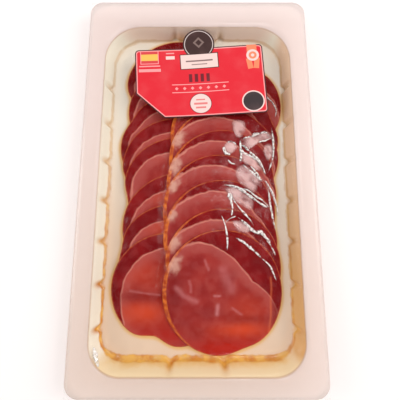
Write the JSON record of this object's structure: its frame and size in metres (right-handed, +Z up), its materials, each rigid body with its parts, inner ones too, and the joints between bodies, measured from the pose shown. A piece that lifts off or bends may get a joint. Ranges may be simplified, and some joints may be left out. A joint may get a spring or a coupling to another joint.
{
  "type": "pack of sliced cured pork loin",
  "caption": "Sealed shallow tray of shingled cured pork loin slices under clinging clear film, with a plain red die-cut label near one end.",
  "frame": {"origin": "middle of the pack's footprint, on the underside of the tray's floor", "axes": "+Z up, through the thickness; +Y along the length, towards the label's end; +X across the width"},
  "size_m": [0.14, 0.238, 0.0132],
  "materials": {
    "tray": "clear thermoformed sheet with a slight cream haze",
    "loin": "moist cured meat, dark red rim and pinkish middle, satin",
    "film": "clear clinging vacuum film, glossy, finely wrinkled",
    "label": "red coated paper label with pale key line, satin"
  },
  "bodies": {
    "root": {"tray": "tray", "slice_left_1": "loin", "slice_left_2": "loin", "slice_left_3": "loin", "slice_left_4": "loin", "slice_left_5": "loin", "slice_left_6": "loin", "slice_left_7": "loin", "slice_left_8": "loin", "slice_right_1": "loin", "slice_right_2": "loin", "slice_right_3": "loin", "slice_right_4": "loin", "slice_right_5": "loin", "slice_right_6": "loin", "slice_right_7": "loin", "slice_right_8": "loin", "film": "film", "label": "label"}
  },
  "joints": []
}
